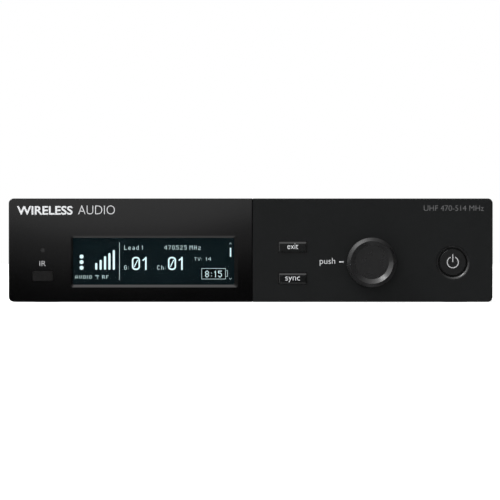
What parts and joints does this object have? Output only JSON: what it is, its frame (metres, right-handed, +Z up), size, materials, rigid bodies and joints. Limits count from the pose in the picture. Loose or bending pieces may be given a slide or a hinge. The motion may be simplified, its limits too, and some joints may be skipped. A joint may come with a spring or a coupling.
{
  "type": "wireless receiver unit",
  "caption": "Half-rack wireless audio receiver: black box with a small display, push buttons, a push-turn knob, a power button and rear antenna, audio, network and power sockets.",
  "frame": {"origin": "bottom centre of the whole unit's box, on the surface it stands on", "axes": "+Z up, +X to the right seen from the front, the front faces -Y"},
  "size_m": [0.197, 0.173, 0.0424],
  "materials": {
    "gloss_fascia": "polished black moulding",
    "matt_fascia": "fine matt black moulding",
    "frame_plastic": "fine matt black moulding",
    "window_glass": "clear polished window",
    "display_panel": "dark panel behind the window",
    "foam": "closed foam",
    "ir_filter": "dark infrared filter, satin",
    "light_pipe": "smoked light pipe",
    "button_plastic": "satin black moulding",
    "knob_plastic": "satin dark grey",
    "case_paint": "fine-textured black powder coat",
    "screw_black": "black zinc plating",
    "nickel": "nickel plating",
    "steel": "bare steel",
    "tin": "tinned steel",
    "gold": "gold flash",
    "board": "green solder mask",
    "black_nylon": "black nylon",
    "white_plastic": "white insulator",
    "chip": "epoxy",
    "capacitor_can": "drawn can",
    "ferrite": "ferrite",
    "ribbon": "flat cable",
    "legend_print": "screen-printed legends",
    "display_light": "lit readout",
    "foot_rubber": "soft black rubber"
  },
  "bodies": {
    "chassis": {"display_fascia": "gloss_fascia", "control_fascia": "matt_fascia", "front_frame": "frame_plastic", "display_window": "window_glass", "display_gasket": "foam", "display_module": "display_panel", "display_board": "board", "ir_window": "ir_filter", "ir_transceiver": "chip", "sync_led_pipe": "light_pipe", "encoder_body": "nickel", "encoder_nut": "nickel", "control_board": "board", "button_switches": "black_nylon", "power_switch": "black_nylon", "front_screws": "steel", "base_tray": "case_paint", "top_cover": "case_paint", "rear_panel": "case_paint", "cover_screws": "screw_black", "rear_panel_screws": "screw_black", "rack_inserts": "steel", "rubber_feet": "foot_rubber", "main_board": "board", "board_standoffs": "steel", "board_screws": "steel", "rf_shield_a": "tin", "rf_shield_b": "tin", "audio_shield": "tin", "processor_chips": "chip", "filter_capacitors": "capacitor_can", "power_inductors": "ferrite", "ribbon_cables": "ribbon", "ribbon_connectors": "white_plastic", "antenna_jack_a": "nickel", "antenna_jack_b": "nickel", "antenna_jack_insulators": "white_plastic", "antenna_jack_contacts": "gold", "antenna_jack_nuts": "nickel", "xlr_shell": "black_nylon", "xlr_insert": "black_nylon", "xlr_pins": "gold", "xlr_screws": "screw_black", "phone_jack_body": "black_nylon", "phone_jack_nut": "nickel", "phone_jack_contacts": "tin", "network_jack_housing": "black_nylon", "network_jack_contacts": "gold", "power_inlet_body": "black_nylon", "power_inlet_pin": "nickel", "cord_retainer": "black_nylon", "level_switch_body": "black_nylon"},
    "exit": {"exit_button": "button_plastic"},
    "sync": {"sync_button": "button_plastic"},
    "power": {"power_button": "button_plastic"},
    "knob_carrier": {"encoder_carrier": "black_nylon"},
    "knob": {"control_knob": "knob_plastic", "encoder_shaft": "nickel"},
    "level_slider": {"level_switch_slider": "button_plastic"}
  },
  "joints": [
    {"name": "exit_press", "type": "slide", "parent": "chassis", "child": "exit", "axis": [0, 1, 0], "range_m": [0, 0.0005], "stiffness_N_per_m": 2000, "springref_m": -0.0005},
    {"name": "sync_press", "type": "slide", "parent": "chassis", "child": "sync", "axis": [0, 1, 0], "range_m": [0, 0.0005], "stiffness_N_per_m": 2000, "springref_m": -0.0005},
    {"name": "power_press", "type": "slide", "parent": "chassis", "child": "power", "axis": [0, 1, 0], "range_m": [0, 0.001], "stiffness_N_per_m": 1500, "springref_m": -0.0006},
    {"name": "knob_press", "type": "slide", "parent": "chassis", "child": "knob_carrier", "axis": [0, 1, 0], "range_m": [0, 0.0005], "stiffness_N_per_m": 3000, "springref_m": -0.0006},
    {"name": "knob_turn", "type": "hinge", "parent": "knob_carrier", "child": "knob", "pos_m": [0.04922, -0.0815, 0.01638], "axis": [0, 1, 0], "continuous": true},
    {"name": "level_slide", "type": "slide", "parent": "chassis", "child": "level_slider", "axis": [1, 0, 0], "range_m": [0, 0.0025]}
  ]
}
